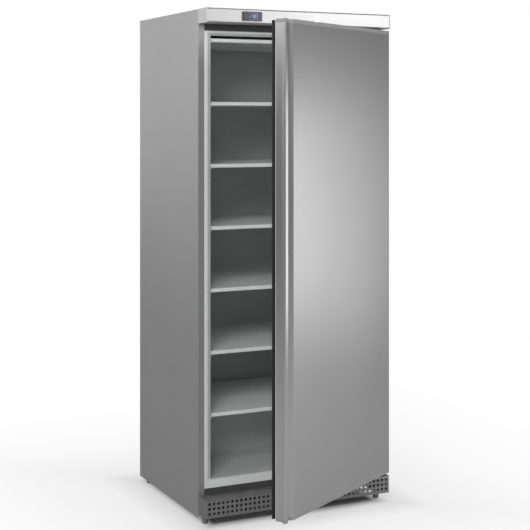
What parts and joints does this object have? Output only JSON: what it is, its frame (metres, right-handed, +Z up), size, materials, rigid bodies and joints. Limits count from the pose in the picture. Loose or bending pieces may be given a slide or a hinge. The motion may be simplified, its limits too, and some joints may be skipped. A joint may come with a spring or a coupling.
{
  "type": "upright storage freezer",
  "caption": "Tall upright freezer with a solid hinged door standing ajar, fixed evaporator shelves, a lockable fascia with a controller, and a perforated plinth.",
  "frame": {"origin": "on the floor, at the middle of the front left foot's pad", "axes": "+Z up, the front looks along -Y, +X to the right as one faces the front"},
  "size_m": [0.7908, 1.0656, 1.895],
  "materials": {
    "casing_steel": "satin",
    "door_steel": "brushed",
    "galvanised": "matte",
    "dark_frame": "matte",
    "foam": "matte",
    "white_plastic": "satin",
    "shelf_white": "satin",
    "grey_plastic": "matte",
    "handle_grey": "satin",
    "seal": "matte",
    "bush_nylon": "matte",
    "controller_black": "satin",
    "display": "gloss",
    "button_black": "satin",
    "chromed": "polished",
    "foot_grey": "matte",
    "compressor_black": "satin",
    "condenser_metal": "matte",
    "pipe": "satin",
    "probe": "matte"
  },
  "bodies": {
    "cabinet": {"back_panel": "galvanised", "base_pan": "galvanised", "base_rail_left": "galvanised", "base_rail_right": "galvanised", "breaker_frame": "white_plastic", "cable_inlet": "controller_black", "compressor": "compressor_black", "compressor_mounts": "seal", "condenser": "condenser_metal", "controller_display": "display", "controller_housing": "controller_black", "cross_member_lower": "dark_frame", "cross_member_upper": "dark_frame", "evaporation_tray": "controller_black", "evaporator_shelf_1": "shelf_white", "evaporator_shelf_2": "shelf_white", "evaporator_shelf_3": "shelf_white", "evaporator_shelf_4": "shelf_white", "evaporator_shelf_5": "shelf_white", "evaporator_shelf_6": "shelf_white", "evaporator_shelf_7": "shelf_white", "fan_motor": "compressor_black", "fan_shroud": "controller_black", "fascia": "casing_steel", "grille_screws": "galvanised", "hinge_bracket_bottom": "galvanised", "hinge_bracket_top": "galvanised", "hinge_pin_bottom": "galvanised", "hinge_pin_top": "galvanised", "inner_liner": "white_plastic", "insulation_foam": "foam", "lock_barrel": "chromed", "machine_cover": "galvanised", "machine_tray": "galvanised", "plinth_grille": "casing_steel", "shelf_rails": "white_plastic", "side_panel_left": "casing_steel", "side_panel_right": "casing_steel", "suction_riser": "pipe", "temperature_probe": "probe", "top_panel": "casing_steel"},
    "door": {"door_skin": "door_steel", "door_foam": "foam", "door_inner_panel": "white_plastic", "door_gasket": "seal", "door_handle": "handle_grey", "door_trim_top": "grey_plastic", "door_trim_bottom": "grey_plastic", "hinge_bush_top": "bush_nylon", "hinge_bush_bottom": "bush_nylon"},
    "foot_front_left": {"foot_front_left": "foot_grey"},
    "foot_front_right": {"foot_front_right": "foot_grey"},
    "foot_rear_left": {"foot_rear_left": "foot_grey"},
    "foot_rear_right": {"foot_rear_right": "foot_grey"},
    "button_down": {"button_down": "button_black"},
    "button_power": {"button_power": "button_black"},
    "button_set": {"button_set": "button_black"},
    "button_up": {"button_up": "button_black"},
    "lock_cam": {"lock_cam": "chromed"},
    "fan_rotor": {"fan_rotor": "controller_black"}
  },
  "joints": [
    {"name": "door_hinge", "type": "hinge", "parent": "cabinet", "child": "door", "pos_m": [0.73, -0.018, 0.97], "axis": [0, 0, 1], "range_deg": [-31.3, 62.7]},
    {"name": "lock_turn", "type": "hinge", "parent": "cabinet", "child": "lock_cam", "pos_m": [0.426, -0.056, 1.86775], "axis": [0, 1, 0], "range_deg": [0, 90]},
    {"name": "button_down_press", "type": "slide", "parent": "cabinet", "child": "button_down", "axis": [0, 1, 0], "range_m": [0, 0.0008], "stiffness_N_per_m": 500, "springref_m": -0.0004},
    {"name": "button_power_press", "type": "slide", "parent": "cabinet", "child": "button_power", "axis": [0, 1, 0], "range_m": [0, 0.0008], "stiffness_N_per_m": 500, "springref_m": -0.0004},
    {"name": "button_set_press", "type": "slide", "parent": "cabinet", "child": "button_set", "axis": [0, 1, 0], "range_m": [0, 0.0008], "stiffness_N_per_m": 500, "springref_m": -0.0004},
    {"name": "button_up_press", "type": "slide", "parent": "cabinet", "child": "button_up", "axis": [0, 1, 0], "range_m": [0, 0.0008], "stiffness_N_per_m": 500, "springref_m": -0.0004},
    {"name": "foot_front_left_screw", "type": "hinge", "parent": "cabinet", "child": "foot_front_left", "pos_m": [0, 0, 0], "axis": [0, 0, 1], "range_deg": [-1440, 1440]},
    {"name": "foot_front_right_screw", "type": "hinge", "parent": "cabinet", "child": "foot_front_right", "pos_m": [0.728, 0, 0], "axis": [0, 0, 1], "range_deg": [-1440, 1440]},
    {"name": "foot_rear_left_screw", "type": "hinge", "parent": "cabinet", "child": "foot_rear_left", "pos_m": [0, 0.579, 0], "axis": [0, 0, 1], "range_deg": [-1440, 1440]},
    {"name": "foot_rear_right_screw", "type": "hinge", "parent": "cabinet", "child": "foot_rear_right", "pos_m": [0.728, 0.579, 0], "axis": [0, 0, 1], "range_deg": [-1440, 1440]},
    {"name": "fan_spin", "type": "hinge", "parent": "cabinet", "child": "fan_rotor", "pos_m": [0.527, 0.5115, 0.15025], "axis": [1, 0, 0], "continuous": true}
  ]
}
